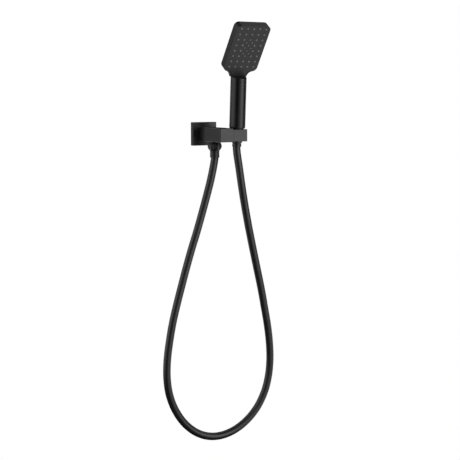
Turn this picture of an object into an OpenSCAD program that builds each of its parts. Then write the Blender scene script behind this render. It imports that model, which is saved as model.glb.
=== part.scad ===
// Hand shower with a wall outlet, a swivel holder and a hanging hose.
// X runs along the wall, -Y out of the wall and +Z up. The origin is on the wall, on the inlet's axis.

/* [Wall plate] */
// Width of the wall plate
plate_w = 50; // [44:1:70]
// Height of the wall plate
plate_h = 44; // [38:1:64]
// How far the plate stands out of the wall
plate_t = 10; // [8:0.5:14]
// Rim of the plate outside the seal
plate_rim = 1.6; // [1.2:0.2:2.4]
// Thickness of the plate's front wall
plate_front = 2.6; // [2:0.2:4]
// Thickness of the wall seal
seal_t = 1.6; // [1:0.2:2.4]
// Width of the wall seal's strip
seal_w = 3.4; // [2.4:0.2:4.4]

/* [Arm] */
// Width of the arm along the wall
arm_w = 27.8; // [26:0.2:34]
// Sideways shift of the arm's middle from the inlet
arm_x = 2; // [0:0.5:4]
// Height of the arm
arm_h = 25.4; // [24:0.2:32]
// Distance from the wall to the arm's front face
arm_reach = 92.4; // [88:0.2:120]
// Radius of the arm's and the holder's edges
edge_r = 1; // [0.6:0.2:1.6]
// Step from the arm down to its tenon in the plate
tenon_step = 1.2; // [0.8:0.2:2]

/* [Water fittings] */
// Outside diameter of a half inch pipe thread
thread_d = 20.95; // [20.6:0.05:21.2]
// Diameter at which the threads of nuts and nipples meet
thread_mid_d = 19.8; // [19.4:0.1:20]
// Length of the inlet thread behind the wall's face
inlet_l = 14; // [10:1:20]
// Diameter of the nipple's shank inside the arm
shank_d = 17.8; // [16.8:0.2:18.6]
// Length of the nipple's shank inside the arm
shank_l = 26; // [24:1:32]
// Bore of the water way in the arm
water_d = 12; // [10:0.5:13]
// Diameter of the non-return valve cartridge
valve_d = 14.8; // [14:0.2:15.6]
// Length of the non-return valve cartridge
valve_l = 13; // [11:0.5:13]
// Distance from the wall to the outlet's axis
outlet_y = 45; // [42:0.5:52]
// Length of the outlet nipple's thread in the arm
port_l = 9; // [7:0.5:10]
// Diameter of the outlet nipple's thread in the arm
port_d = 16.2; // [15:0.2:18]

/* [Holder] */
// Width of the holder block along the wall
holder_w = 28; // [27.4:0.2:32]
// Depth of the holder block
holder_d = 28.4; // [28:0.2:32]
// Height of the holder block
holder_h = 22.4; // [21:0.2:26]
// How far the holder's middle lies under the arm's middle
holder_drop = 0.65; // [0:0.05:1.5]
// Gap between arm and holder, filled by the friction washer
seam = 1.1; // [0.8:0.1:1.6]
// Diameter of the spigot that the holder turns on
spigot_d = 13.9; // [12:0.1:15]
// Length of the spigot
spigot_l = 11; // [8:0.5:12]
// Diameter of the pivot screw
screw_d = 5; // [4:0.5:5.5]

/* [Hose] */
// Outside diameter of the hose
hose_d = 14.5; // [13.6:0.1:14.8]
// Bore of the hose
hose_bore = 9.4; // [8.8:0.1:10]
// Width across the flats of the outlet nut
nut_af = 23.4; // [23.2:0.2:26]
// Height of the outlet nut
nut_h = 15.3; // [14.8:0.1:18]
// Length of the ferrule that shows under the outlet nut
ferrule_l = 12.8; // [10:0.2:18]
// Diameter of the outlet ferrule
ferrule_d = 17.7; // [17.5:0.1:19]

/* [Cone nut] */
// Diameter of the cone nut at its top
cone_top_d = 23.6; // [23.4:0.1:24]
// Diameter of the cone nut at its bottom
cone_bottom_d = 19.2; // [19:0.1:20]
// Length of the cone nut
cone_l = 25.8; // [25:0.2:30]

/* [Handle] */
// Diameter of the handle
handle_d = 29.6; // [28.6:0.1:29.8]
// Wall of the handle
handle_wall = 2.5; // [2:0.1:3]
// Height of the handle's lower end over the pivot's level
handle_z = 11.6; // [11.4:0.1:12]
// Height of the ledge where the handle meets the spray face
ledge_z = 107; // [104:0.5:120]
// Forward lean of the handset in its holder, in degrees
lean = 3.1; // [2:0.1:4]

/* [Head] */
// Width of the head
head_w = 69; // [66:1:80]
// Height of the head along its face
head_h = 95.5; // [94:0.5:104]
// Thickness of the head
head_t = 16; // [15:0.5:20]
// Corner radius of the head
head_r = 8.5; // [7:0.5:12]
// Tilt of the spray face against the handle, in degrees
head_tilt = 32; // [30:0.5:34]
// Distance of the spray face's middle in front of the handle's axis
head_fwd = 29.3; // [28.5:0.1:30]
// Height of the spray face's middle over the pivot's level
head_z = 158.5; // [158:0.5:164]
// Wall of the head shell
head_wall = 2.2; // [1.8:0.1:2.6]
// Thickness of the face plate
face_t = 2.2; // [1.8:0.1:2.6]
// Thickness of the nozzle mat
mat_t = 1.4; // [1:0.1:1.8]
// Thickness of the divider plate
divider_t = 2; // [1.6:0.1:2.4]

/* [Nozzles] */
// Distance from the head's sides to the outer nozzle columns
nozzle_side = 9.5; // [8.5:0.5:12]
// Mean distance from the head's ends to the outer nozzle rows
nozzle_end = 8; // [7.8:0.1:10]
// Diameter of a large nozzle
nozzle_d = 3.2; // [2.6:0.1:3.8]
// Diameter of a small nozzle
small_d = 2.3; // [1.8:0.1:2.6]
// How far the nozzles stand out of the face plate
nozzle_out = 0.9; // [0.5:0.1:1.4]

/* [Hidden] */
$fn = 64;

cut = 1;
fit = 0.1;
o_ring_d = 1.7;
blacks = ["#262729", "#2c2d2f", "#1d1e20"];
matt_black = blacks[0];
soft_black = blacks[1];
rubber_black = blacks[2];
brass = "#b08d4c";
steel = "#b9bcc0";
white_plastic = "#d9d9d4";

// Arm and its places
arm_right = arm_x + arm_w / 2;
tenon_w = arm_w - 2 * tenon_step;
tenon_h = arm_h - 2 * tenon_step;
shank_bore = shank_d + 2 * fit;
arm_floor = -arm_h / 2;
port_bore = port_d + 2 * fit;
grub_y = 20;
grub_d = 5;
groove_depth = 1.1;
o_ring_places = [9, 14.5];

// Outlet fittings, from the arm down
flange_l = 1.8;
flange_d = thread_d + 0.6;
outlet_thread_l = 9.5;
nut_top = arm_floor - flange_l;
nut_floor = nut_top - nut_h;
washer_top = nut_top - outlet_thread_l;
washer_t = 2;
tail_flange_t = 2;
tail_flange_d = 18.4;
neck_d = 12.4;
nut_bore = thread_mid_d + 2 * fit;
flange_bore = tail_flange_d + 4 * fit;
seat_z = washer_top - washer_t - tail_flange_t;
ferrule_top = nut_floor - 0.3;
ferrule_cap = 1.2;
ferrule_floor = nut_floor - ferrule_l;
hose_start = ferrule_top - ferrule_cap;
barb_d = hose_bore - 0.7;
tail_bore = 6;

// Holder and pivot
holder_left = arm_right + seam;
socket_x = holder_left + holder_w / 2;
socket_y = arm_reach - holder_d / 2;
pivot_y = socket_y;
pivot_z = -holder_drop;
cone_clear = 0.15;
cone_top = handle_z - 0.3;
cone_slope = (cone_top_d - cone_bottom_d) / 2 / cone_l;
slot_w = hose_d + 1.3;
screw_head_d = 9;
screw_head_t = 1.7;
spring_t = 0.7;
screw_l = 14;
washer_d = 22;

// Cone nut's inside, measured along the handset's axis
cone_thread_l = 10.6;
cone_washer_top = cone_top - cone_thread_l;
cone_seat = cone_washer_top - washer_t - tail_flange_t;
cone_floor = cone_top - cone_l;
cone_ferrule_d = 16.8;
cone_ferrule_top = cone_seat - 1.5;
cone_ferrule_floor = cone_floor - 7.4;
hose_end = cone_ferrule_top - ferrule_cap;

// Handset
handle_bore = handle_d - 2 * handle_wall;
way_d = 6.6;
way_y = 7.2;
way_top = ledge_z + 11;
tube_d = way_d + 1.8;
plug_top = handle_z + 15;
tube_seat = plug_top - 4;
hollow_top = ledge_z - 17;
tube_grip = 8;
ledge_slope = 17;
tongue_w = 30.4;
tongue_r = 10;
back_r = 2.4;
heel_r = 13;
head_low = -49.5;
tongue_low = -66;
plate_low = tongue_low + 10;
neck_grip = 12;
neck_v = head_low + 17.5;
neck_len = 6;
chamber_t = 7;
inlet_w = 10;
stack_t = face_t + mat_t + divider_t;
face_rim = 1.3;
pitch_u = (head_w - 2 * nozzle_side) / 4;
pitch_v = (head_h - 2 * nozzle_end) / 7;
screw_u = 1.5 * pitch_u;
screw_v = 2.5 * pitch_v;
boss_d = 7;

// The hose's route: straight down from the arm, round the hanging loop and up to the handset
route_loop = [[-5, -45, -78], [-14, -44, -112], [-24, -43, -146], [-35, -43, -180], [-46, -42, -213],
    [-57, -42, -247], [-67, -42, -280], [-77, -42, -314], [-86, -42, -348], [-93, -42, -383],
    [-98, -42, -418], [-99, -42, -453], [-94, -42, -487], [-81, -42, -520], [-60, -43, -550],
    [-32, -44, -572], [0, -45, -582], [34, -46, -579], [66, -47, -564], [92, -48, -540],
    [110, -49, -509], [119, -50, -476], [121, -52, -441], [118, -54, -405], [112, -56, -370],
    [104, -58, -335], [96, -60, -301], [87, -62, -267], [78, -64, -234], [69, -66, -200],
    [60, -69, -167], [52, -71, -133], [44, -74, -98], [37, -76, -62]];
route_start = [[arm_x, -outlet_y, hose_start], [arm_x, -outlet_y, ferrule_floor - 2]];
route_end = [on_handset_axis(cone_ferrule_floor - 5), on_handset_axis(hose_end)];
route = concat(route_start, route_loop, route_end);

function on_handset_axis(z) = [socket_x, -socket_y - z * sin(lean), z * cos(lean)];

module in_handset() {
    translate([socket_x, -socket_y, 0])
        rotate([lean, 0, 0])
            children();
}

// Here x runs across the spray face, y up along it and z out of it
module in_head() {
    in_handset()
        translate([0, -head_fwd, head_z])
            rotate([head_tilt, 0, 0])
                rotate([90, 0, 0])
                    children();
}

module at_outlet() {
    translate([arm_x, -outlet_y, 0])
        children();
}

// Turns a revolved shape from +Z to point into the wall, +Y
module into_wall() {
    rotate([-90, 0, 0])
        children();
}

// Turns a revolved shape from +Z to +X
module along_x() {
    rotate([0, 90, 0])
        children();
}

module ring(d, bore, h) {
    difference() {
        cylinder(d = d, h = h);
        translate([0, 0, -cut])
            cylinder(d = bore, h = h + 2 * cut);
    }
}

module o_ring(middle_r) {
    rotate_extrude()
        translate([middle_r, 0])
            circle(d = o_ring_d, $fn = 24);
}

module rounded_rect(w, h, r) {
    square([w - 2 * r, h], center = true);
    square([w, h - 2 * r], center = true);
    for (sx = [-1, 1], sy = [-1, 1])
        translate([sx * (w / 2 - r), sy * (h / 2 - r)])
            circle(r = r);
}

// A block with all edges rounded, centred on the origin
module rounded_block(w, d, h, r) {
    intersection() {
        linear_extrude(h, center = true)
            rounded_rect(w, d, r);
        rotate([90, 0, 0])
            linear_extrude(d, center = true)
                rounded_rect(w, h, r);
        rotate([90, 0, 90])
            linear_extrude(w, center = true)
                rounded_rect(d, h, r);
    }
}

module wall_plate() {
    seal_out = [plate_w - 2 * plate_rim, plate_h - 2 * plate_rim];
    color(matt_black)
        difference() {
            translate([0, -plate_t / 2, 0])
                rounded_block(plate_w, plate_t, plate_h, edge_r);
            translate([-seal_out.x / 2, -seal_t, -seal_out.y / 2])
                cube([seal_out.x, seal_t + cut, seal_out.y]);
            translate([-seal_out.x / 2 + seal_w, -plate_t + plate_front, -seal_out.y / 2 + seal_w])
                cube([seal_out.x - 2 * seal_w, plate_t, seal_out.y - 2 * seal_w]);
            translate([arm_x - tenon_w / 2 - fit, -plate_t - cut, -tenon_h / 2 - fit])
                cube([tenon_w + 2 * fit, plate_t + 2 * cut, tenon_h + 2 * fit]);
        }
}

module wall_seal() {
    seal_out = [plate_w - 2 * plate_rim - 2 * fit, plate_h - 2 * plate_rim - 2 * fit];
    color(rubber_black)
        translate([-seal_out.x / 2, -seal_t, -seal_out.y / 2])
            difference() {
                cube([seal_out.x, seal_t, seal_out.y]);
                translate([seal_w - fit, -cut, seal_w - fit])
                    cube([seal_out.x - 2 * seal_w + 2 * fit, seal_t + 2 * cut, seal_out.y - 2 * seal_w + 2 * fit]);
            }
}

module inlet_nipple() {
    color(brass)
        into_wall()
            difference() {
                union() {
                    cylinder(d = thread_d, h = inlet_l);
                    translate([0, 0, -shank_l])
                        cylinder(d = shank_d, h = shank_l + cut);
                }
                for (y = o_ring_places)
                    translate([0, 0, -y - o_ring_d / 2 - fit])
                        ring(shank_d + 2, shank_d - 2 * o_ring_d - fit, o_ring_d + 2 * fit);
                translate([0, 0, -grub_y - grub_d / 2 - fit])
                    ring(shank_d + 2, shank_d - 2 * groove_depth, grub_d + 2 * fit);
                translate([0, 0, -shank_l - cut])
                    cylinder(d = water_d, h = shank_l + inlet_l + 2 * cut);
                translate([0, 0, inlet_l - valve_l])
                    cylinder(d = valve_d + 2 * fit, h = valve_l + cut);
            }
}

module nipple_o_rings() {
    color(rubber_black)
        into_wall()
            for (y = o_ring_places)
                translate([0, 0, -y])
                    o_ring(shank_d / 2 - o_ring_d / 2 + 0.05);
}

module check_valve() {
    color(white_plastic)
        into_wall()
            translate([0, 0, inlet_l - valve_l]) {
                ring(valve_d, valve_d - 3, valve_l);
                for (a = [0, 60, 120])
                    rotate([0, 0, a])
                        translate([-valve_d / 2 + 1, -0.6, 1.5])
                            cube([valve_d - 2, 1.2, valve_l - 5]);
                translate([0, 0, 1])
                    cylinder(d = 8.6, h = 2);
                cylinder(d = 3, h = valve_l - 2);
            }
}

module arm() {
    length = arm_reach - plate_t;
    color(matt_black)
        difference() {
            union() {
                translate([arm_x, -plate_t - length / 2, 0])
                    rounded_block(arm_w, length, arm_h, edge_r);
                translate([arm_x - tenon_w / 2, -plate_t - 2, -tenon_h / 2])
                    cube([tenon_w, plate_t + 2, tenon_h]);
            }
            translate([0, cut, 0])
                rotate([90, 0, 0])
                    cylinder(d = shank_bore, h = shank_l + 2 + cut);
            rotate([90, 0, 0])
                cylinder(d = water_d, h = outlet_y + water_d / 2);
            at_outlet() {
                translate([0, 0, arm_floor - cut])
                    cylinder(d = port_bore, h = port_l + 0.6 + cut);
                translate([0, 0, arm_floor])
                    cylinder(d = water_d - 1, h = arm_h / 2);
            }
            translate([0, -grub_y, arm_floor - cut])
                cylinder(d = grub_d, h = arm_h / 2);
            translate([0, -pivot_y, pivot_z])
                along_x() {
                    translate([0, 0, arm_right - spigot_l + seam - 0.6])
                        cylinder(d = spigot_d + 2 * 0.05, h = spigot_l + 5);
                    translate([0, 0, holder_left - screw_l - 0.6])
                        cylinder(d = screw_d + 0.04, h = screw_l);
                }
        }
}

module grub_screw() {
    tip = -shank_d / 2 + groove_depth - fit;
    length = tip - arm_floor - 0.6;
    color(steel)
        translate([0, -grub_y, tip - length])
            difference() {
                cylinder(d = grub_d - 0.1, h = length);
                translate([0, 0, -cut])
                    cylinder(d = 2.9, h = 2 + cut, $fn = 6);
            }
}

module outlet_nipple() {
    color(matt_black)
        at_outlet()
            difference() {
                union() {
                    translate([0, 0, arm_floor])
                        cylinder(d = port_d, h = port_l);
                    translate([0, 0, nut_top])
                        cylinder(d = flange_d, h = flange_l);
                    translate([0, 0, washer_top])
                        cylinder(d = thread_mid_d, h = outlet_thread_l);
                }
                translate([0, 0, washer_top - cut])
                    cylinder(d = water_d - 1, h = 40);
            }
}

module outlet_washer() {
    color(rubber_black)
        at_outlet()
            translate([0, 0, washer_top - washer_t])
                ring(tail_flange_d, water_d - 1, washer_t);
}

// A hexagon nut whose corners are turned down to a cone at both ends
module outlet_nut() {
    corner_d = nut_af / cos(30);
    bevel = 2;
    color(matt_black)
        at_outlet()
            translate([0, 0, nut_floor])
                difference() {
                    intersection() {
                        cylinder(d = corner_d, h = nut_h, $fn = 6);
                        rotate_extrude()
                            polygon([[0, 0], [nut_af / 2 - 0.6, 0], [corner_d / 2, bevel],
                                [corner_d / 2, nut_h - bevel], [nut_af / 2 - 0.6, nut_h], [0, nut_h]]);
                    }
                    translate([0, 0, washer_top - nut_floor])
                        cylinder(d = nut_bore, h = nut_h);
                    translate([0, 0, seat_z - nut_floor])
                        cylinder(d = flange_bore, h = nut_h);
                    translate([0, 0, -cut])
                        cylinder(d = neck_d + 0.6, h = nut_h);
                }
}

// Barbed insert: top is its flange's upper face, seat the nut's shoulder and ferrule where the ferrule starts
module hose_tail(top, seat, ferrule, length) {
    barb_floor = ferrule - ferrule_cap - length;
    difference() {
        union() {
            translate([0, 0, seat])
                cylinder(d = tail_flange_d, h = top - seat);
            translate([0, 0, ferrule + 0.15])
                cylinder(d = neck_d, h = seat - ferrule);
            translate([0, 0, barb_floor])
                cylinder(d = barb_d - 0.6, h = top - barb_floor);
            for (i = [0:2])
                translate([0, 0, barb_floor + i * 3.4])
                    rotate_extrude()
                        polygon([[0, 0], [barb_d / 2 - 0.5, 0], [barb_d / 2, 2.4], [barb_d / 2, 2.8], [0, 2.8]]);
        }
        translate([0, 0, barb_floor - cut])
            cylinder(d = tail_bore, h = top - barb_floor + 2 * cut);
    }
}

// Crimped sleeve with two rolled grooves and an inward flange at its top
module ferrule(d, top, floor) {
    r = d / 2;
    in_r = hose_d / 2 + 0.25;
    h = top - floor;
    translate([0, 0, floor])
        rotate_extrude()
            polygon([[in_r, 0], [r - 0.3, 0], [r, 0.5], [r, h * 0.3], [r - 0.35, h * 0.3 + 0.5],
                [r - 0.35, h * 0.3 + 1.1], [r, h * 0.3 + 1.6], [r, h * 0.65], [r - 0.35, h * 0.65 + 0.5],
                [r - 0.35, h * 0.65 + 1.1], [r, h * 0.65 + 1.6], [r, h - 0.5], [r - 0.5, h],
                [barb_d / 2, h], [barb_d / 2, h - ferrule_cap], [in_r, h - ferrule_cap]]);
}

module outlet_tail() {
    color(brass)
        at_outlet()
            hose_tail(washer_top - washer_t, seat_z, ferrule_top, 11);
}

module outlet_ferrule() {
    color(matt_black)
        at_outlet()
            ferrule(ferrule_d, ferrule_top, ferrule_floor);
}

// The hose is one tube swept along its route, with its bore
hose_sides = 10;
function unit(v) = v / norm(v);
function route_way(i) = i == 0 ? unit(route[1] - route[0])
    : i == len(route) - 1 ? unit(route[i] - route[i - 1])
    : unit(route[i + 1] - route[i - 1]);
function hose_ring(i, r) =
    let (way = route_way(i), side = unit(cross([0, 1, 0], way)), other = cross(way, side))
    [for (k = [0:hose_sides - 1])
        let (a = 360 * k / hose_sides)
        route[i] + r * (cos(a) * side + sin(a) * other)];
module hose() {
    count = len(route);
    around = hose_sides;
    outer = [for (i = [0:count - 1]) each hose_ring(i, hose_d / 2)];
    inner = [for (i = [0:count - 1]) each hose_ring(i, hose_bore / 2)];
    shift = count * around;
    last = (count - 1) * around;
    walls = [for (i = [0:count - 2], k = [0:around - 1])
        let (a = i * around + k, b = i * around + (k + 1) % around)
        each [[a, a + around, b + around], [a, b + around, b],
            [shift + a, shift + b + around, shift + a + around], [shift + a, shift + b, shift + b + around]]];
    ends = [for (k = [0:around - 1])
        let (n = (k + 1) % around)
        each [[k, n, shift + n], [k, shift + n, shift + k],
            [last + k, shift + last + n, last + n], [last + k, shift + last + k, shift + last + n]]];
    color(soft_black)
        polyhedron(points = concat(outer, inner), faces = concat(walls, ends), convexity = 12);
}

module friction_washer() {
    color(white_plastic)
        translate([arm_right + 0.05, -pivot_y, pivot_z])
            along_x()
                ring(washer_d, spigot_d + 0.3, seam - 0.1);
}

module pivot_screw() {
    seat = holder_left + spring_t;
    color(steel)
        translate([0, -pivot_y, pivot_z])
            along_x()
                difference() {
                    union() {
                        translate([0, 0, seat])
                            cylinder(d = screw_head_d, h = screw_head_t);
                        translate([0, 0, holder_left - screw_l])
                            cylinder(d = screw_d, h = screw_l + spring_t + cut);
                    }
                    translate([0, 0, seat + screw_head_t - 1.2])
                        cylinder(d = 3.4, h = 2, $fn = 6);
                }
}

module holder_block() {
    top_r = cone_top_d / 2 + cone_clear;
    color(matt_black)
        difference() {
            union() {
                translate([socket_x, -socket_y, pivot_z])
                    rounded_block(holder_w, holder_d, holder_h, edge_r);
                translate([0, -pivot_y, pivot_z])
                    along_x()
                        translate([0, 0, holder_left - spigot_l])
                            cylinder(d = spigot_d, h = spigot_l + 2);
            }
            in_handset()
                rotate_extrude()
                    polygon([[0, cone_top - 40], [top_r - cone_slope * 40, cone_top - 40],
                        [top_r + cone_slope * 10, cone_top + 10], [0, cone_top + 10]]);
            in_handset()
                translate([0, -slot_w / 2, -30])
                    cube([holder_w, slot_w, 60]);
            translate([0, -pivot_y, pivot_z])
                along_x() {
                    translate([0, 0, holder_left - spigot_l - cut])
                        cylinder(d = screw_d + 0.3, h = spigot_l + 10);
                    translate([0, 0, holder_left])
                        cylinder(d = screw_head_d + 0.5, h = 8);
                }
        }
}

// A dished washer that presses the holder against the friction washer
module spring_washer() {
    color(steel)
        translate([holder_left, -pivot_y, pivot_z])
            along_x()
                rotate_extrude()
                    polygon([[screw_d / 2 + 0.2, 0.25], [4.3, 0], [4.3, 0.4], [screw_d / 2 + 0.2, 0.65]]);
}

module cone_nut() {
    color(matt_black)
        in_handset()
            difference() {
                translate([0, 0, cone_floor])
                    rotate_extrude()
                        polygon([[0, 0], [cone_bottom_d / 2 - 0.5, 0], [cone_bottom_d / 2, 0.5],
                            [cone_top_d / 2, cone_l - 0.4], [cone_top_d / 2 - 0.4, cone_l], [0, cone_l]]);
                translate([0, 0, cone_washer_top])
                    cylinder(d = nut_bore, h = cone_l);
                translate([0, 0, cone_seat])
                    cylinder(d = flange_bore, h = cone_l);
                translate([0, 0, cone_floor - cut])
                    cylinder(d = neck_d + 0.6, h = cone_l);
                translate([0, 0, cone_floor - cut])
                    cylinder(d = cone_ferrule_d + 0.4, h = cone_ferrule_top + 0.2 - cone_floor + cut);
            }
}

module cone_ferrule() {
    color(matt_black)
        in_handset()
            ferrule(cone_ferrule_d, cone_ferrule_top, cone_ferrule_floor);
}

module cone_tail() {
    color(brass)
        in_handset()
            hose_tail(cone_washer_top - washer_t, cone_seat, cone_ferrule_top, 11);
}

module cone_washer() {
    color(rubber_black)
        in_handset()
            translate([0, 0, cone_washer_top - washer_t])
                ring(tail_flange_d, water_d - 1, washer_t);
}

module handle_connector() {
    bore = 10;
    color(white_plastic)
        in_handset()
            difference() {
                union() {
                    translate([0, 0, cone_washer_top])
                        cylinder(d = thread_mid_d, h = handle_z - cone_washer_top);
                    translate([0, 0, handle_z])
                        cylinder(d = handle_bore - 2 * fit, h = plug_top - handle_z);
                }
                translate([0, 0, handle_z + 8])
                    ring(handle_bore + 2, handle_bore - 2 * o_ring_d - 3 * fit, o_ring_d + 2 * fit);
                translate([0, 0, cone_washer_top - cut])
                    cylinder(d = bore, h = tube_seat + 1.5 - cone_washer_top + cut);
                translate([0, 0, cone_washer_top - cut])
                    cylinder(d = 13.2, h = 3 + cut);
                translate([0, way_y, tube_seat])
                    cylinder(d = tube_d + 2 * fit, h = plug_top - tube_seat + cut);
            }
}

module connector_o_ring() {
    color(rubber_black)
        in_handset()
            translate([0, 0, handle_z + 8 + o_ring_d / 2 + fit])
                o_ring(handle_bore / 2 - o_ring_d / 2 - 0.05);
}

module flow_limiter() {
    color(white_plastic)
        in_handset()
            translate([0, 0, cone_washer_top + 0.2])
                difference() {
                    cylinder(d = 13, h = 2.6);
                    for (a = [0:60:300])
                        rotate([0, 0, a])
                            translate([3.4, 0, -cut])
                                cylinder(d = 1.6, h = 5);
                }
}

module water_tube() {
    color(white_plastic)
        in_handset()
            translate([0, way_y, tube_seat])
                ring(tube_d, way_d, hollow_top + tube_grip - tube_seat);
}

// Outline of the head, drawn in by a margin: a rounded field with a tongue that runs into the handle
module head_outline(margin) {
    w = tongue_w / 2 - margin;
    r = tongue_r + margin;
    low = head_low + margin;
    translate([0, head_low + head_h / 2])
        rounded_rect(head_w - 2 * margin, head_h - 2 * margin, head_r - margin);
    translate([-w, tongue_low + 2 * margin])
        square([2 * w, low + 20 - tongue_low - 2 * margin]);
    for (side = [0, 1])
        mirror([side, 0])
            difference() {
                translate([w - cut, low - r])
                    square([r + cut, r + cut]);
                translate([w + r, low - r])
                    circle(r = r);
            }
}

// The head's field without its tongue, drawn in by a margin
module field_outline(margin) {
    translate([0, head_low + head_h / 2])
        rounded_rect(head_w - 2 * margin, head_h - 2 * margin, head_r - margin);
}

// Slab with a rounded back, face at z = 0
module head_slab() {
    high = head_low + head_h;
    intersection() {
        translate([0, 0, -head_t])
            linear_extrude(head_t)
                head_outline(0);
        translate([0, high, 0])
            rotate([90, 0, 0])
                linear_extrude(high - tongue_low)
                    translate([0, -head_t / 2 + back_r])
                        rounded_rect(head_w, head_t + 2 * back_r, back_r);
        translate([-head_w / 2, 0, 0])
            rotate([90, 0, 90])
                linear_extrude(head_w)
                    difference() {
                        translate([tongue_low, -head_t])
                            square([high - tongue_low, head_t]);
                        translate([high - back_r, -head_t + back_r])
                            difference() {
                                translate([0, -back_r - cut])
                                    square(back_r + cut);
                                circle(r = back_r);
                            }
                        translate([tongue_low + heel_r, -head_t + heel_r])
                            difference() {
                                translate([-heel_r - cut, -heel_r - cut])
                                    square(heel_r + cut);
                                circle(r = heel_r);
                            }
                    }
    }
}

// Everything in front of the spray face and above the ledge on the handle
module spray_space() {
    deep = 80;
    in_handset()
        translate([0, 0, ledge_z])
            rotate([90, 0, 90])
                linear_extrude(2 * deep, center = true)
                    polygon([ledge_corner(), ledge_corner() + deep * [-cos(ledge_slope), -sin(ledge_slope)],
                        [-deep, deep], ledge_corner() + deep * [-sin(head_tilt), cos(head_tilt)]]);
}

// Where the spray face's plane meets the ledge: along y and z of the handset, from the ledge's height
function ledge_corner() = [(head_z - ledge_z) * tan(head_tilt) - head_fwd, 0];

module neck() {
    hull() {
        in_handset()
            translate([0, 0, ledge_z - neck_grip])
                cylinder(d = handle_d - 3 * fit, h = neck_grip, $fn = 48);
        in_head()
            translate([-tongue_w / 2 - 3, neck_v, -head_t + 4])
                cube([tongue_w + 6, neck_len, head_t - 5]);
    }
}

module handset_shell() {
    color(matt_black)
        difference() {
            union() {
                in_handset()
                    translate([0, 0, handle_z])
                        rotate_extrude()
                            polygon(concat([[0, 0]],
                                [for (a = [-90:15:0])
                                    [handle_d / 2 - 2.5 + 2.5 * cos(a), 2.5 + 2.5 * sin(a)]],
                                [[handle_d / 2, ledge_z - handle_z - 1], [0, ledge_z - handle_z - 1]]));
                neck();
                in_head()
                    head_slab();
            }
            spray_space();
            in_handset()
                translate([0, 0, handle_z - cut])
                    cylinder(d = handle_bore, h = hollow_top - handle_z + cut);
            in_handset()
                translate([0, way_y, hollow_top - cut])
                    cylinder(d = way_d, h = way_top - hollow_top + cut);
            in_handset()
                translate([0, way_y, hollow_top - cut])
                    cylinder(d = tube_d + 2 * fit, h = tube_grip + cut);
            in_head() {
                translate([0, 0, -stack_t])
                    linear_extrude(stack_t + cut)
                        intersection() {
                            head_outline(face_rim);
                            translate([-head_w, plate_low])
                                square([2 * head_w, 2 * head_h]);
                        }
                translate([0, 0, -stack_t - chamber_t])
                    linear_extrude(chamber_t + cut)
                        difference() {
                            field_outline(head_wall + 2);
                            for (u = [-screw_u, screw_u], v = [-screw_v, screw_v])
                                translate([u, v])
                                    circle(d = boss_d);
                        }
                translate([-inlet_w / 2, plate_low, -stack_t - chamber_t])
                    cube([inlet_w, head_low - plate_low + 9.5, chamber_t - 1.4]);
                for (u = [-screw_u, screw_u], v = [-screw_v, screw_v])
                    translate([u, v, -stack_t - 6])
                        cylinder(d = 2.4, h = 6 + cut);
            }
        }
}

module divider_plate() {
    color(white_plastic)
        in_head()
            difference() {
                translate([0, 0, -stack_t])
                    linear_extrude(divider_t)
                        field_outline(face_rim + fit);
                for (u = [-1.5:1:1.5], v = [-3:1:3])
                    if (!(abs(u) == 1.5 && abs(v) == 2) && !(abs(u) == 1.5 && abs(v) == 3))
                        translate([u * pitch_u, v * pitch_v, -stack_t - cut])
                            cylinder(d = 4, h = divider_t + 2 * cut, $fn = 24);
                for (u = [-screw_u, screw_u], v = [-screw_v, screw_v])
                    translate([u, v, -stack_t - cut]) {
                        cylinder(d = 2.8, h = divider_t + 2 * cut);
                        translate([0, 0, cut + 0.7])
                            cylinder(d = 5.2, h = divider_t);
                    }
            }
}

module head_screws() {
    color(steel)
        in_head()
            for (u = [-screw_u, screw_u], v = [-screw_v, screw_v])
                translate([u, v, -stack_t + 0.7])
                    difference() {
                        union() {
                            cylinder(d = 5, h = 1.2);
                            translate([0, 0, -6])
                                cylinder(d = 2.3, h = 6.5);
                        }
                        translate([0, 0, 0.4])
                            cylinder(d = 2, h = 2, $fn = 6);
                    }
}

module head_seal() {
    seal_h = 1;
    color(rubber_black)
        in_head()
            translate([0, 0, -face_t - mat_t])
                linear_extrude(seal_h)
                    difference() {
                        field_outline(face_rim + fit);
                        field_outline(face_rim + 2);
                    }
}

// Places of the large nozzles as [column, row] counted from the middle
large_nozzles = [for (c = [-2:2], r = [-3.5:1:3.5]) if (c != 0 || abs(r) > 2) [c * pitch_u, r * pitch_v]];
// Small nozzles in the middle: two outer ones, two pairs beside the axis and their partners
small_nozzles = concat(
    [for (s = [-1, 1]) [0, s * 1.5 * pitch_v]],
    [for (su = [-1, 1], sv = [-1, 1]) [su * 0.45 * pitch_u, sv * pitch_v]],
    [for (s = [-1, 1]) [0, s * 0.5 * pitch_v]],
    [for (s = [-1, 1]) [s * 0.48 * pitch_u, 0]]);

module nozzle(d, bore) {
    reach = face_t + nozzle_out;
    difference() {
        translate([0, 0, -face_t - 0.2])
            rotate_extrude($fn = 32)
                polygon([[0, 0], [d / 2, 0], [d / 2, face_t + 0.3], [d / 2 - 0.35, reach + 0.2], [0, reach + 0.2]]);
        translate([0, 0, -face_t - cut])
            cylinder(d = bore, h = reach + 2 * cut, $fn = 16);
    }
}

module nozzle_mat() {
    color(soft_black)
        in_head() {
            difference() {
                translate([0, 0, -face_t - mat_t])
                    linear_extrude(mat_t)
                        field_outline(face_rim + 2.2);
                for (p = concat(large_nozzles, small_nozzles))
                    translate([p.x, p.y, -face_t - mat_t - cut])
                        cylinder(d = 1, h = mat_t + 2 * cut, $fn = 16);
            }
            for (p = large_nozzles)
                translate([p.x, p.y, 0])
                    nozzle(nozzle_d, 1);
            for (p = small_nozzles)
                translate([p.x, p.y, 0])
                    nozzle(small_d, 1);
        }
}

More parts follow.
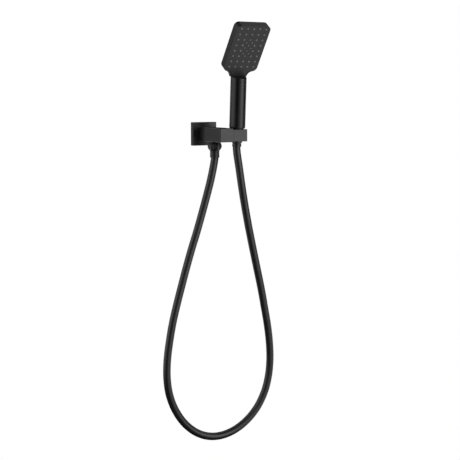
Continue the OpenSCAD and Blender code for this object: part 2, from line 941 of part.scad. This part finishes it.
module face_plate() {
    color(matt_black)
        in_head()
            difference() {
                translate([0, 0, -face_t])
                    linear_extrude(face_t)
                        intersection() {
                            head_outline(face_rim + fit);
                            translate([-head_w, plate_low + fit])
                                square([2 * head_w, 2 * head_h]);
                        }
                for (p = large_nozzles)
                    translate([p.x, p.y, -face_t - cut])
                        cylinder(d = nozzle_d + 2 * fit, h = face_t + 2 * cut, $fn = 32);
                for (p = small_nozzles)
                    translate([p.x, p.y, -face_t - cut])
                        cylinder(d = small_d + 2 * fit, h = face_t + 2 * cut, $fn = 32);
            }
}

wall_plate();
wall_seal();
inlet_nipple();
nipple_o_rings();
check_valve();
arm();
grub_screw();
outlet_nipple();
outlet_washer();
outlet_nut();
outlet_tail();
outlet_ferrule();
hose();
friction_washer();
pivot_screw();
holder_block();
spring_washer();
cone_nut();
cone_ferrule();
cone_tail();
cone_washer();
handle_connector();
connector_o_ring();
flow_limiter();
water_tube();
handset_shell();
divider_plate();
head_seal();
head_screws();
nozzle_mat();
face_plate();
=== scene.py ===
import math

import bmesh
import bpy
from mathutils import Matrix, Vector


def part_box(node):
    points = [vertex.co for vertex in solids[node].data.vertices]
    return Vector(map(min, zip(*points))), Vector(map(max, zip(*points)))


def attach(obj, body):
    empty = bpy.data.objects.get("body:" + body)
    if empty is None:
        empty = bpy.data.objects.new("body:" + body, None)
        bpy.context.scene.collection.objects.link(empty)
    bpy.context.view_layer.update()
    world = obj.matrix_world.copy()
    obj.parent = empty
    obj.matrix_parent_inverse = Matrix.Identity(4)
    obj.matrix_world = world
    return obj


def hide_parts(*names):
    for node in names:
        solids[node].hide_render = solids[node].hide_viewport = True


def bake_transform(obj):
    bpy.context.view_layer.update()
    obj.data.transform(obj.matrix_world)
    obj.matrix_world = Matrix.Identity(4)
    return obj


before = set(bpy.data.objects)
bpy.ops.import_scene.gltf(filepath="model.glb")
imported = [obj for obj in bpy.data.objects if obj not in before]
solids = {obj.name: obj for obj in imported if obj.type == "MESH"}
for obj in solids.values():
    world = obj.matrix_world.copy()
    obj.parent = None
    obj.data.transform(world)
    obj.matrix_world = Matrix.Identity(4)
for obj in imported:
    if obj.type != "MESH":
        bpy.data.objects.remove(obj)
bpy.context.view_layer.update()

# Wall plate. A square cover plate of brass with a satin black coat, pressed against the wall by the
# inlet nipple behind it, with a flat rubber frame let into its hollow back.


def finish_of(name, dark, light, rough, grain, grain_depth, metallic=0.0, specular=0.5):
    """A procedural finish: two close tones in soft patches, an uneven sheen and a fine grain."""
    patch_scale, patch_detail = 60, 3
    patch_low, patch_high = 0.3, 0.7
    grain_detail, grain_strength = 2, 0.35
    made = bpy.data.materials.new(name)
    made.use_nodes = True
    nodes, links = made.node_tree.nodes, made.node_tree.links
    shader = nodes["Principled BSDF"]
    shader.inputs["Metallic"].default_value = metallic
    shader.inputs["Specular IOR Level"].default_value = specular
    place = nodes.new("ShaderNodeTexCoord")
    patches = nodes.new("ShaderNodeTexNoise")
    patches.inputs["Scale"].default_value = patch_scale
    patches.inputs["Detail"].default_value = patch_detail
    links.new(place.outputs["Object"], patches.inputs["Vector"])
    tone = nodes.new("ShaderNodeMix")
    tone.data_type = "RGBA"
    tone.inputs[6].default_value = (*dark, 1)
    tone.inputs[7].default_value = (*light, 1)
    links.new(patches.outputs["Fac"], tone.inputs[0])
    links.new(tone.outputs[2], shader.inputs["Base Color"])
    sheen = nodes.new("ShaderNodeMapRange")
    sheen.inputs["From Min"].default_value = patch_low
    sheen.inputs["From Max"].default_value = patch_high
    sheen.inputs["To Min"].default_value = rough[0]
    sheen.inputs["To Max"].default_value = rough[1]
    links.new(patches.outputs["Fac"], sheen.inputs["Value"])
    links.new(sheen.outputs["Result"], shader.inputs["Roughness"])
    fine = nodes.new("ShaderNodeTexNoise")
    fine.inputs["Scale"].default_value = grain
    fine.inputs["Detail"].default_value = grain_detail
    links.new(place.outputs["Object"], fine.inputs["Vector"])
    bump = nodes.new("ShaderNodeBump")
    bump.inputs["Strength"].default_value = grain_strength
    bump.inputs["Distance"].default_value = grain_depth
    links.new(fine.outputs["Fac"], bump.inputs["Height"])
    links.new(bump.outputs["Normal"], shader.inputs["Normal"])
    return made


def dress(piece, material):
    """Gives a piece or a carried-over solid one material."""
    piece.data.materials.clear()
    piece.data.materials.append(material)


black_coat = finish_of("black_coat", dark=(0.006, 0.006, 0.0065), light=(0.009, 0.009, 0.0095),
                       rough=(0.30, 0.37), grain=1400, grain_depth=0.00002, specular=0.3)
black_rubber = finish_of("black_rubber", dark=(0.018, 0.018, 0.018), light=(0.026, 0.026, 0.026),
                         rough=(0.65, 0.8), grain=1200, grain_depth=0.00004)
dress(solids["wall_plate"], black_coat)
dress(solids["wall_seal"], black_rubber)

# Arm. A square bar of brass with the same coat, drilled for the water way and seated in the plate.
# A steel grub screw in its underside holds it on the inlet nipple, and the outlet nipple is
# screwed into the same side further out.
plain_steel = finish_of("plain_steel", dark=(0.42, 0.43, 0.44), light=(0.52, 0.53, 0.54),
                        rough=(0.28, 0.36), grain=1500, grain_depth=0.00002, metallic=1.0)
dress(solids["arm"], black_coat)
dress(solids["grub_screw"], plain_steel)
dress(solids["outlet_nipple"], black_coat)

# Outlet nut and ferrule. A turned brass barrel with six shallow lobes for the fingers draws the
# hose's tail up to the arm's outlet, and a rolled sleeve under it clamps the hose on that tail.
outlet_x, outlet_y = 0.002, -0.045
nut_r = 0.0133
nut_mouth_r = 0.0092
nut_sides = 120
nut_lobes = 6
lobe_depth = 0.0026
lobe_turn = math.radians(30.6)
lobe_roundness = 1.6

# The barrel's outline from its lower end up, as radii and heights
nut_profile = [(0.0063, -0.0300), (0.0088, -0.0300), (0.0097, -0.0293), (0.0112, -0.0276),
               (0.0124, -0.0255), (0.0131, -0.0232), (nut_r, -0.0215), (0.0131, -0.0196),
               (0.0125, -0.0176), (0.0116, -0.0160), (0.0107, -0.0151), (0.0100, -0.0147),
               (nut_mouth_r, -0.0146)]


def skin(rings):
    """Points and faces of a closed body through rings of equal length, with a face at each end."""
    count = len(rings[0])
    verts = [Vector(p) for ring in rings for p in ring]
    faces = []
    for i in range(len(rings) - 1):
        for k in range(count):
            n = (k + 1) % count
            faces.append((i * count + k, i * count + n, (i + 1) * count + n, (i + 1) * count + k))
    faces.append(tuple(reversed(range(count))))
    faces.append(tuple(range((len(rings) - 1) * count, len(rings) * count)))
    return verts, faces


def new_piece(name, verts, faces):
    """A smooth mesh object from points and faces, in metres, in the part's frame."""
    mesh = bpy.data.meshes.new(name)
    mesh.from_pydata([tuple(v) for v in verts], [], faces)
    work = bmesh.new()
    work.from_mesh(mesh)
    bmesh.ops.recalc_face_normals(work, faces=work.faces)
    work.to_mesh(mesh)
    work.free()
    mesh.update()
    mesh.polygons.foreach_set("use_smooth", [True] * len(mesh.polygons))
    piece = bpy.data.objects.new(name, mesh)
    bpy.context.scene.collection.objects.link(piece)
    return piece


def lobed_ring(radius, z):
    """One level of the nut: a circle with a bite between the lobes, deepest at the barrel's middle."""
    swell = max(0.0, (radius - nut_mouth_r) / (nut_r - nut_mouth_r))
    ring = []
    for k in range(nut_sides):
        a = 2 * math.pi * k / nut_sides
        between_lobes = abs(math.sin(nut_lobes * (a + lobe_turn) / 2)) ** lobe_roundness
        r = radius - lobe_depth * between_lobes * swell
        ring.append((outlet_x + r * math.cos(a), outlet_y + r * math.sin(a), z))
    return ring


hose_nut = new_piece("hose_nut", *skin([lobed_ring(r, z) for r, z in nut_profile]))
dress(hose_nut, black_coat)
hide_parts("outlet_nut")
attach(hose_nut, "bracket")
dress(solids["outlet_ferrule"], black_coat)

# Hose. A smooth black plastic hose with a thick wall, crimped into a ferrule at both ends.
# It leaves the arm straight down, hangs in one wide loop and rises to the handset's cone nut.
hose_d = 0.0145
hose_sides = 28
hose_steps = 5
lean = math.radians(3.1)
socket = Vector((0.031, -0.0782, 0))


def on_handset_axis(z):
    """The place on the leaning handset's axis at a distance above or below the socket."""
    return (socket.x, socket.y - z * math.sin(lean), z * math.cos(lean))


hose_points = [Vector(p) for p in (
    (outlet_x, outlet_y, -0.0313), (outlet_x, outlet_y, -0.0446), (-0.005, -0.045, -0.078),
    (-0.014, -0.044, -0.112), (-0.024, -0.043, -0.146), (-0.035, -0.043, -0.180),
    (-0.046, -0.042, -0.213), (-0.057, -0.042, -0.247), (-0.067, -0.042, -0.280),
    (-0.077, -0.042, -0.314), (-0.086, -0.042, -0.348), (-0.093, -0.042, -0.383),
    (-0.098, -0.042, -0.418), (-0.099, -0.042, -0.453), (-0.094, -0.042, -0.487),
    (-0.081, -0.042, -0.520), (-0.060, -0.043, -0.550), (-0.032, -0.044, -0.572),
    (0.000, -0.045, -0.582), (0.034, -0.046, -0.579), (0.066, -0.047, -0.564),
    (0.092, -0.048, -0.540), (0.110, -0.049, -0.509), (0.119, -0.050, -0.476),
    (0.121, -0.052, -0.441), (0.118, -0.054, -0.405), (0.112, -0.056, -0.370),
    (0.104, -0.058, -0.335), (0.096, -0.060, -0.301), (0.087, -0.062, -0.267),
    (0.078, -0.064, -0.234), (0.069, -0.066, -0.200), (0.060, -0.069, -0.167),
    (0.052, -0.071, -0.133), (0.044, -0.074, -0.098), (0.037, -0.076, -0.062),
    on_handset_axis(-0.0269), on_handset_axis(-0.0060))]


def way_along(line, i):
    """The direction of a line of points at one of them, from its neighbours."""
    return (line[min(i + 1, len(line) - 1)] - line[max(i - 1, 0)]).normalized()


def smooth_line(points, steps):
    """Points on one smooth curve that runs through all the given points."""
    line = []
    for i, (a, b) in enumerate(zip(points, points[1:])):
        reach = (b - a).length
        for k in range(steps):
            t = k / steps
            line.append(a * (2 * t ** 3 - 3 * t ** 2 + 1)
                        + way_along(points, i) * reach * (t ** 3 - 2 * t ** 2 + t)
                        + b * (3 * t ** 2 - 2 * t ** 3)
                        + way_along(points, i + 1) * reach * (t ** 3 - t ** 2))
    line.append(points[-1].copy())
    return line


def hose_ring(line, i):
    """One round section of the hose, square to its line."""
    way = way_along(line, i)
    side = Vector((0, 1, 0)).cross(way).normalized()
    other = way.cross(side)
    turns = [2 * math.pi * k / hose_sides for k in range(hose_sides)]
    return [line[i] + hose_d / 2 * (math.cos(turn) * side + math.sin(turn) * other) for turn in turns]


hose_line = smooth_line(hose_points, hose_steps)
hose = new_piece("hose_tube", *skin([hose_ring(hose_line, i) for i in range(len(hose_line))]))
hose_skin = finish_of("hose_skin", dark=(0.006, 0.006, 0.0062), light=(0.008, 0.008, 0.0082),
                      rough=(0.30, 0.37), grain=900, grain_depth=0.00003, specular=0.34)
dress(hose, hose_skin)
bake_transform(hose)
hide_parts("hose")

# Holder. A square brass block on a spigot at the arm's right side, which swivels against a nylon
# washer under a steel screw. A cone bored through it takes the handset's cone nut, and a slot on
# its right lets the hose in.
black_nylon = finish_of("black_nylon", dark=(0.006, 0.006, 0.0065), light=(0.009, 0.009, 0.0095),
                        rough=(0.30, 0.37), grain=1500, grain_depth=0.00002, specular=0.3)
dress(solids["holder_block"], black_coat)
dress(solids["friction_washer"], black_nylon)
dress(solids["pivot_screw"], plain_steel)
dress(solids["spring_washer"], plain_steel)

# The thin square rims of arm and holder, which close the seam round the washer
lip_w = 0.0011
lip_inset = 0.00005
lip_round = 0.001
lip_round_steps = 6
lip_clearance = 0.00004
edge_angle = math.radians(32)
arm_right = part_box("arm")[1].x
block_low, block_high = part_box("holder_block")
washer_low, washer_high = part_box("friction_washer")


def edge_lip(name, left, right, body):
    """One rim, hollow round the washer, from one place along the swivel's axis to another."""
    block_mid, pin = (block_low + block_high) / 2, (washer_low + washer_high) / 2
    half_y = (block_high.y - block_low.y) / 2 - lip_inset - lip_round
    half_z = (block_high.z - block_low.z) / 2 - lip_inset - lip_round
    bore_r = (washer_high.z - washer_low.z) / 2 + lip_clearance
    outer, inner = [], []
    for quarter, (side_y, side_z) in enumerate(((1, 1), (-1, 1), (-1, -1), (1, -1))):
        for k in range(lip_round_steps + 1):
            a = math.radians(90 * quarter + 90 * k / lip_round_steps)
            y = block_mid.y + side_y * half_y + lip_round * math.cos(a)
            z = block_mid.z + side_z * half_z + lip_round * math.sin(a)
            turn = math.atan2(z - pin.z, y - pin.y)
            outer.append((y, z))
            inner.append((pin.y + bore_r * math.cos(turn), pin.z + bore_r * math.sin(turn)))
    loops = ((left, outer), (right, outer), (right, inner), (left, inner))
    count = len(outer)
    faces = []
    for i in range(len(loops)):
        here, there = i * count, (i + 1) % len(loops) * count
        for k in range(count):
            n = (k + 1) % count
            faces.append((here + k, here + n, there + n, there + k))
    lip = new_piece(name, [(x, y, z) for x, loop in loops for y, z in loop], faces)
    lip.data.set_sharp_from_angle(angle=edge_angle)
    dress(lip, black_coat)
    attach(lip, body)


edge_lip("arm_edge", arm_right - lip_w, arm_right, "bracket")
edge_lip("holder_edge", washer_low.x, washer_high.x + lip_w, "handset")

# Cone nut and ferrule. The turned and coated brass cone is the hose's own nut, screwed on the
# handset, and it carries the handset by resting in the holder's cone.
dress(solids["cone_nut"], black_coat)
dress(solids["cone_ferrule"], black_coat)

# Fittings inside. Brass nipples and tails, rubber rings and washers, and white plastic inserts
# for the non-return valve, the flow limiter, the handset's connector, its water tube and its divider.
raw_brass = finish_of("raw_brass", dark=(0.58, 0.41, 0.17), light=(0.68, 0.50, 0.24),
                      rough=(0.25, 0.36), grain=1300, grain_depth=0.00002, metallic=1.0)
white_plastic = finish_of("white_plastic", dark=(0.66, 0.66, 0.63), light=(0.74, 0.74, 0.71),
                          rough=(0.4, 0.5), grain=800, grain_depth=0.00002)
for name in ("inlet_nipple", "outlet_tail", "cone_tail"):
    dress(solids[name], raw_brass)
for name in ("nipple_o_rings", "outlet_washer", "cone_washer", "connector_o_ring", "head_seal"):
    dress(solids[name], black_rubber)
for name in ("check_valve", "handle_connector", "flow_limiter", "water_tube", "divider_plate"):
    dress(solids[name], white_plastic)
dress(solids["head_screws"], plain_steel)

# Handset shell. One moulding in black plastic: a round handle that ends in a sloping ledge at the
# front, and behind it a tongue that widens into the square head. It screws on the cone nut, which
# stands in the holder.
handle_r = 0.0148
grip_low, grip_high = 0.0116, 0.113
grip_round = 0.0025
head_y, head_z = -0.0293, 0.1585
head_tilt = math.radians(32)
head_low, head_high = -0.0495, 0.046
head_half = 0.0345
head_t = 0.016
back_r = 0.0024
corner_r, fillet_r = 0.0085, 0.010
arc_steps = 12
tongue_half = 0.0182
tongue_low = -0.057
ledge_z = 0.107
ledge_slope = math.radians(12)
ledge_back = (head_z - ledge_z) * math.tan(head_tilt) + head_y
to_handset = Matrix.Translation(socket) @ Matrix.Rotation(lean, 4, "X")
to_head = (to_handset @ Matrix.Translation((0, head_y, head_z)) @ Matrix.Rotation(head_tilt, 4, "X")
           @ Matrix.Rotation(math.radians(90), 4, "X"))


def revolved(profile, sides):
    """Points and faces of a closed profile of (radius, height) pairs turned about +Z."""
    turns = [2 * math.pi * k / sides for k in range(sides)]
    return skin([[(r * math.cos(a), r * math.sin(a), z) for a in turns] for r, z in profile])


def arc(x, y, r, start, end):
    """Points on a round corner from one angle to another."""
    turns = [start + (end - start) * k / arc_steps for k in range(arc_steps + 1)]
    return [(x + r * math.cos(a), y + r * math.sin(a)) for a in turns]


def head_line(margin, low):
    """The head's outline seen on its face, drawn in by a margin: corners, shoulders and tongue."""
    corner_x = head_half - corner_r
    fillet_x = tongue_half + fillet_r
    meet = math.atan2(-(fillet_r + corner_r), fillet_x - corner_x)
    half = arc(corner_x, head_high - corner_r, corner_r - margin, math.radians(90), 0)
    half += arc(corner_x, head_low + corner_r, corner_r - margin, 0, meet)
    half += arc(fillet_x, head_low - fillet_r, fillet_r + margin, meet + math.pi, math.pi)
    half.append((tongue_half - margin, low + margin))
    return half + [(-x, y) for x, y in reversed(half)]


def apply_modifiers(piece):
    """Puts a piece's modifiers into its mesh."""
    depsgraph = bpy.context.evaluated_depsgraph_get()
    mesh = bpy.data.meshes.new_from_object(piece.evaluated_get(depsgraph))
    old = piece.data
    piece.modifiers.clear()
    piece.data = mesh
    bpy.data.meshes.remove(old)


def cut_out(piece, place, rings):
    """Takes the closed body through some rings, given in the axes of a place, out of a piece."""
    verts, faces = skin(rings)
    tool = new_piece("cut_tool", [place @ v for v in verts], faces)
    cut = piece.modifiers.new("cut", "BOOLEAN")
    cut.operation = "DIFFERENCE"
    cut.solver = "EXACT"
    cut.object = tool
    apply_modifiers(piece)
    bpy.data.objects.remove(tool)


# The head, a slab with a rounded back
slab_front = 0.003
tongue_overlap = 0.0015
back_steps = 6
slab_rings = [[(x, y, slab_front) for x, y in head_line(0, tongue_low - tongue_overlap)]]
for k in range(back_steps + 1):
    a = math.radians(90 * k / back_steps)
    level = back_r * (1 - math.sin(a)) - head_t
    slab_rings.append([(x, y, level) for x, y in head_line(back_r * (1 - math.cos(a)), tongue_low)])
slab_verts, slab_faces = skin([ring[::-1] for ring in slab_rings])

# The handle, a cylinder with a rounded foot
grip_sides = 96
grip_profile = [(handle_r - grip_round * (1 - math.cos(a)), grip_low + grip_round * (1 + math.sin(a)))
                for a in map(math.radians, range(-90, 1, 15))]
grip_profile.append((handle_r, grip_high))
grip_verts, grip_faces = revolved(grip_profile, grip_sides)

# The neck, stretched from its foot on the ledge's level to two levels of the tongue: the foot is
# given across and from front to back, the section across and out of the face
neck_inset = 0.00005
neck_r = handle_r - neck_inset
neck_foot = [(0.0181, ledge_back - 0.004), (0.0181, ledge_back + 0.0002), (0.0156, ledge_back + 0.0026)]
neck_foot += [(neck_r * math.sin(a), neck_r * math.cos(a)) for a in map(math.radians, range(0, 52, 6))]
neck_section = ((0.0138, -0.0158), (0.0166, -0.0136), (0.0180, -0.001))
neck_levels = (-0.053, -0.045)
neck_mesh = bmesh.new()
for side in (-1, 1):
    for x, y in neck_foot:
        z = ledge_z + (y - ledge_back) * math.tan(ledge_slope)
        neck_mesh.verts.new(to_handset @ Vector((side * x, y, z)))
    for level in neck_levels:
        for x, out in neck_section:
            neck_mesh.verts.new(to_head @ Vector((side * x, level, out)))
bmesh.ops.convex_hull(neck_mesh, input=neck_mesh.verts)
bmesh.ops.delete(neck_mesh, geom=[v for v in neck_mesh.verts if not v.link_faces], context="VERTS")
neck_mesh.verts.index_update()
neck_verts = [v.co.copy() for v in neck_mesh.verts]
neck_faces = [tuple(v.index for v in f.verts) for f in neck_mesh.faces]
neck_mesh.free()

# The three cast into one, and its edges softened to the small radii of a moulding
mould_cell = 0.00065
mould_passes = 5
shell_verts, shell_faces = [], []
for verts, faces in (([to_head @ v for v in slab_verts], slab_faces),
                     ([to_handset @ v for v in grip_verts], grip_faces),
                     (neck_verts, neck_faces)):
    shift = len(shell_verts)
    shell_verts += verts
    shell_faces += [tuple(i + shift for i in f) for f in faces]
shell = new_piece("handset_body", shell_verts, shell_faces)
cast = shell.modifiers.new("cast", "REMESH")
cast.mode = "VOXEL"
cast.voxel_size = mould_cell
soften = shell.modifiers.new("soften", "SMOOTH")
soften.factor = 0.5
soften.iterations = mould_passes
apply_modifiers(shell)

# The space in front of the spray face and above the ledge, cut out of the moulding
reach = 0.14
side_line = [(ledge_back, ledge_z),
             (ledge_back - reach * math.cos(ledge_slope), ledge_z - reach * math.sin(ledge_slope)),
             (-reach, ledge_z + reach),
             (ledge_back - reach * math.sin(head_tilt), ledge_z + reach * math.cos(head_tilt))]
cut_out(shell, to_handset, [[(x, y, z) for y, z in side_line] for x in (-reach, reach)])

# The ledge's rim, eased after the cut
rim_high, rim_deep, rim_short = 0.0022, 0.0024, 0.001
rim_passes = 12
from_handset = to_handset.inverted()
rim = shell.vertex_groups.new(name="rim")
for v in shell.data.vertices:
    p = from_handset @ v.co
    above = p.z - ledge_z + (ledge_back - p.y) * math.tan(ledge_slope)
    at_rim = math.hypot(p.x, p.y) > handle_r - rim_deep and p.y < ledge_back - rim_short
    if at_rim and abs(above) < rim_high:
        rim.add([v.index], 1.0, "REPLACE")
ease = shell.modifiers.new("ease", "SMOOTH")
ease.vertex_group = "rim"
ease.factor = 0.5
ease.iterations = rim_passes
apply_modifiers(shell)

# The shallow recess for the face plate
face_rim = 0.0013
plate_low = -0.056
recess_above, recess_below = 0.002, -0.0009
recess_line = [(x, max(y, plate_low)) for x, y in head_line(face_rim, tongue_low)]
cut_out(shell, to_head, [[(x, y, z) for x, y in recess_line[::-1]] for z in (recess_above, recess_below)])
shell.data.polygons.foreach_set("use_smooth", [True] * len(shell.data.polygons))
shell.data.set_sharp_from_angle(angle=edge_angle)

# A satin sheen on the moulding, and the spray face's matt grain on the rim round it
black_moulding = finish_of("black_moulding", dark=(0.003, 0.003, 0.0032), light=(0.005, 0.005, 0.0052),
                           rough=(0.26, 0.32), grain=1600, grain_depth=0.00002, specular=0.24)
matt_face = finish_of("matt_face", dark=(0.021, 0.021, 0.0215), light=(0.027, 0.027, 0.0275),
                      rough=(0.42, 0.50), grain=2200, grain_depth=0.00002, specular=0.26)
facing_out = 0.98
dress(shell, black_moulding)
shell.data.materials.append(matt_face)
out_of_face = (to_head.to_3x3() @ Vector((0, 0, 1))).normalized()
for polygon in shell.data.polygons:
    if polygon.normal.dot(out_of_face) > facing_out:
        polygon.material_index = 1
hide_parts("handset_shell")
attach(shell, "handset")

# Spray face. A flat black plastic plate clipped into the shell's rim, and the soft silicone nozzles
# of the mat behind it that stand out through its holes, each with a small mouth.
dress(solids["face_plate"], matt_face)
pitch_u, pitch_v = 0.0125, 0.01136
large_r, small_r = 0.00175, 0.00125
nozzle_sides = 20
nozzle_foot, nozzle_mouth = -0.0021, -0.0004
large_nozzles = [(c, r - 3.5) for c in range(-2, 3) for r in range(8) if c != 0 or r in (0, 1, 6, 7)]
small_nozzles = [(0, -1.5), (0, 1.5), (-0.45, -1), (-0.45, 1), (0.45, -1), (0.45, 1),
                 (0, -0.5), (0, 0.5), (-0.48, 0), (0.48, 0)]


def nozzle(r):
    """One soft nozzle of a radius: a short pipe with a rounded lip and a mouth in its middle."""
    return revolved([(r, nozzle_foot), (r, 0.0002), (0.93 * r, 0.0005), (0.84 * r, 0.00072),
                     (0.72 * r, 0.00086), (0.58 * r, 0.0009), (0.46 * r, 0.00086), (0.38 * r, 0.0007),
                     (0.34 * r, nozzle_mouth)], nozzle_sides)


field_verts, field_faces = [], []
for places, r in ((large_nozzles, large_r), (small_nozzles, small_r)):
    for column, row in places:
        verts, faces = nozzle(r)
        shift = len(field_verts)
        field_verts += [to_head @ (p + Vector((column * pitch_u, row * pitch_v, 0))) for p in verts]
        field_faces += [tuple(i + shift for i in f) for f in faces]
nozzle_field = new_piece("nozzle_field", field_verts, field_faces)
soft_nozzle = finish_of("soft_nozzle", dark=(0.15, 0.15, 0.152), light=(0.18, 0.18, 0.182),
                        rough=(0.5, 0.6), grain=2500, grain_depth=0.00002)
dress(nozzle_field, soft_nozzle)
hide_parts("nozzle_mat")
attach(nozzle_field, "handset")

# Camera. The photograph is taken from the left and a little from above, with a long lens,
# so that the hose's loop and the head both fit in the square frame.
camera_turn, camera_rise = math.radians(-29.4), math.radians(7.6)
camera_distance = 2.0
aim = Vector((0.0348, -0.045, -0.1816))
back = Vector((math.sin(camera_turn) * math.cos(camera_rise),
               -math.cos(camera_turn) * math.cos(camera_rise),
               math.sin(camera_rise)))
camera = bpy.data.objects.new("camera", bpy.data.cameras.new("camera"))
bpy.context.scene.collection.objects.link(camera)
camera.location = aim + camera_distance * back
camera.rotation_euler = back.to_track_quat("Z", "Y").to_euler()
camera.data.lens = 82.38
camera.data.sensor_width = 36
camera.data.clip_start = 0.01
camera.data.clip_end = 50
bpy.context.scene.camera = camera

# Studio. A white room with a pale floor far below the loop. Three soft boxes light the object, from
# the front right, from the left and from overhead, and the last isn't mirrored in it.
bpy.context.scene.view_settings.view_transform = "Standard"
white_paint = (1, 1, 1, 1)
room_light = 0.45
floor_z = -0.72
floor_reach = 6
floor_dark, floor_light = (0.78, 0.78, 0.78, 1), (0.82, 0.82, 0.82, 1)
floor_rough, floor_patch_scale = 0.9, 3


def seen_white(nodes, links, lit, white):
    """Mixes two shaders: one for the light that the object gets, a white one for rays that see it."""
    rays = nodes.new("ShaderNodeLightPath")
    seen = rays.outputs["Is Camera Ray"]
    for kind in ("Is Glossy Ray", "Is Transmission Ray"):
        either = nodes.new("ShaderNodeMath")
        either.operation = "MAXIMUM"
        links.new(seen, either.inputs[0])
        links.new(rays.outputs[kind], either.inputs[1])
        seen = either.outputs[0]
    pick = nodes.new("ShaderNodeMixShader")
    links.new(seen, pick.inputs[0])
    links.new(lit.outputs[0], pick.inputs[1])
    links.new(white.outputs[0], pick.inputs[2])
    return pick.outputs[0]


world = bpy.data.worlds.new("studio")
bpy.context.scene.world = world
world.use_nodes = True
world_nodes, world_links = world.node_tree.nodes, world.node_tree.links
world_nodes.clear()
fill = world_nodes.new("ShaderNodeBackground")
fill.inputs["Color"].default_value = white_paint
fill.inputs["Strength"].default_value = room_light
backdrop = world_nodes.new("ShaderNodeBackground")
backdrop.inputs["Color"].default_value = white_paint
backdrop.inputs["Strength"].default_value = 1.0
world_out = world_nodes.new("ShaderNodeOutputWorld")
world_links.new(seen_white(world_nodes, world_links, fill, backdrop), world_out.inputs["Surface"])

floor_paint = bpy.data.materials.new("floor_paint")
floor_paint.use_nodes = True
floor_nodes, floor_links = floor_paint.node_tree.nodes, floor_paint.node_tree.links
floor_shader = floor_nodes["Principled BSDF"]
floor_shader.inputs["Roughness"].default_value = floor_rough
floor_patches = floor_nodes.new("ShaderNodeTexNoise")
floor_patches.inputs["Scale"].default_value = floor_patch_scale
floor_tone = floor_nodes.new("ShaderNodeMix")
floor_tone.data_type = "RGBA"
floor_tone.inputs[6].default_value = floor_dark
floor_tone.inputs[7].default_value = floor_light
floor_links.new(floor_patches.outputs["Fac"], floor_tone.inputs[0])
floor_links.new(floor_tone.outputs[2], floor_shader.inputs["Base Color"])
floor_white = floor_nodes.new("ShaderNodeEmission")
floor_white.inputs["Color"].default_value = white_paint
floor_white.inputs["Strength"].default_value = 1.0
floor_links.new(seen_white(floor_nodes, floor_links, floor_shader, floor_white),
                floor_nodes["Material Output"].inputs["Surface"])
floor_corners = [(x * floor_reach, y * floor_reach, floor_z)
                 for x, y in ((-1, -1), (1, -1), (1, 1), (-1, 1))]
floor = new_piece("floor", floor_corners, [(0, 1, 2, 3)])
dress(floor, floor_paint)


def round_object(turn, distance, height):
    """A place at a compass angle, a distance and a height about the object's middle."""
    a = math.radians(turn)
    return aim + Vector((math.sin(a) * distance, -math.cos(a) * distance, height))


def soft_lamp(name, turn, height, distance, width, tall, power, mirrored):
    """A soft box that looks at the object's middle."""
    lamp = bpy.data.objects.new(name, bpy.data.lights.new(name, "AREA"))
    bpy.context.scene.collection.objects.link(lamp)
    lamp.data.shape = "RECTANGLE"
    lamp.data.size = width
    lamp.data.size_y = tall
    lamp.data.energy = power
    lamp.location = round_object(turn, distance, height)
    lamp.rotation_euler = (lamp.location - aim).to_track_quat("Z", "Y").to_euler()
    lamp.visible_camera = False
    lamp.visible_glossy = mirrored


soft_lamp("key_lamp", turn=28, height=0.0, distance=1.7, width=1.2, tall=1.7, power=19, mirrored=True)
soft_lamp("left_lamp", turn=-101, height=0.2, distance=1.5, width=1.2, tall=1.6, power=7.5, mirrored=True)
soft_lamp("top_lamp", turn=-20, height=1.7, distance=0.5, width=1.4, tall=1.0, power=10, mirrored=False)

# Dark cards. Matt black boards that only show mirrored in the black finishes, where they give the
# round pieces their dark cores: four upright ones far out, one on the floor and one overhead.
card_black = finish_of("card_black", dark=(0.008, 0.008, 0.008), light=(0.012, 0.012, 0.012),
                       rough=(0.9, 0.95), grain=40, grain_depth=0.001)
card_distance = 3.2
card_low = -1.0
card_steps = 12
fan_distance = 3.1
fan_z = floor_z + 0.004
lid_z = 1.6
lid_half, lid_front, lid_back = 1.6, -1.5, 0.45


def dark_card(name, verts, faces):
    """One card, of points and faces, that neither the camera nor any shadow shows."""
    card = new_piece(name, verts, faces)
    card.visible_camera = False
    card.visible_diffuse = False
    card.visible_shadow = False
    dress(card, card_black)


for name, first, last, tall in (("card_front", -62, -18, 1.3), ("card_right", 64, 104, 1.3),
                                ("card_far", 122, 172, 3.4), ("card_back", -170, -150, 1.3)):
    turns = [first + (last - first) * k / card_steps for k in range(card_steps + 1)]
    verts = [round_object(turn, card_distance, z) for turn in turns for z in (card_low, tall)]
    dark_card(name, verts, [(2 * k, 2 * k + 1, 2 * k + 3, 2 * k + 2) for k in range(card_steps)])

# The card on the floor: a fan out to the front left and a ring close in under the loop,
# as compass angles and distances
fan = [(turn, fan_distance) for turn in range(-62, -17, 11)]
fan += [(-18, 0.35), (40, 0.2), (90, 0.16), (135, 0.3), (170, 0.6), (200, 0.8), (235, 0.9), (270, 0.8)]
fan_verts = [round_object(turn, distance, fan_z - aim.z) for turn, distance in fan]
dark_card("card_floor", fan_verts, [tuple(range(len(fan_verts)))])
lid_corners = [(-lid_half, lid_front, lid_z), (lid_half, lid_front, lid_z),
               (lid_half, lid_back, lid_z), (-lid_half, lid_back, lid_z)]
dark_card("card_top", lid_corners, [(0, 1, 2, 3)])
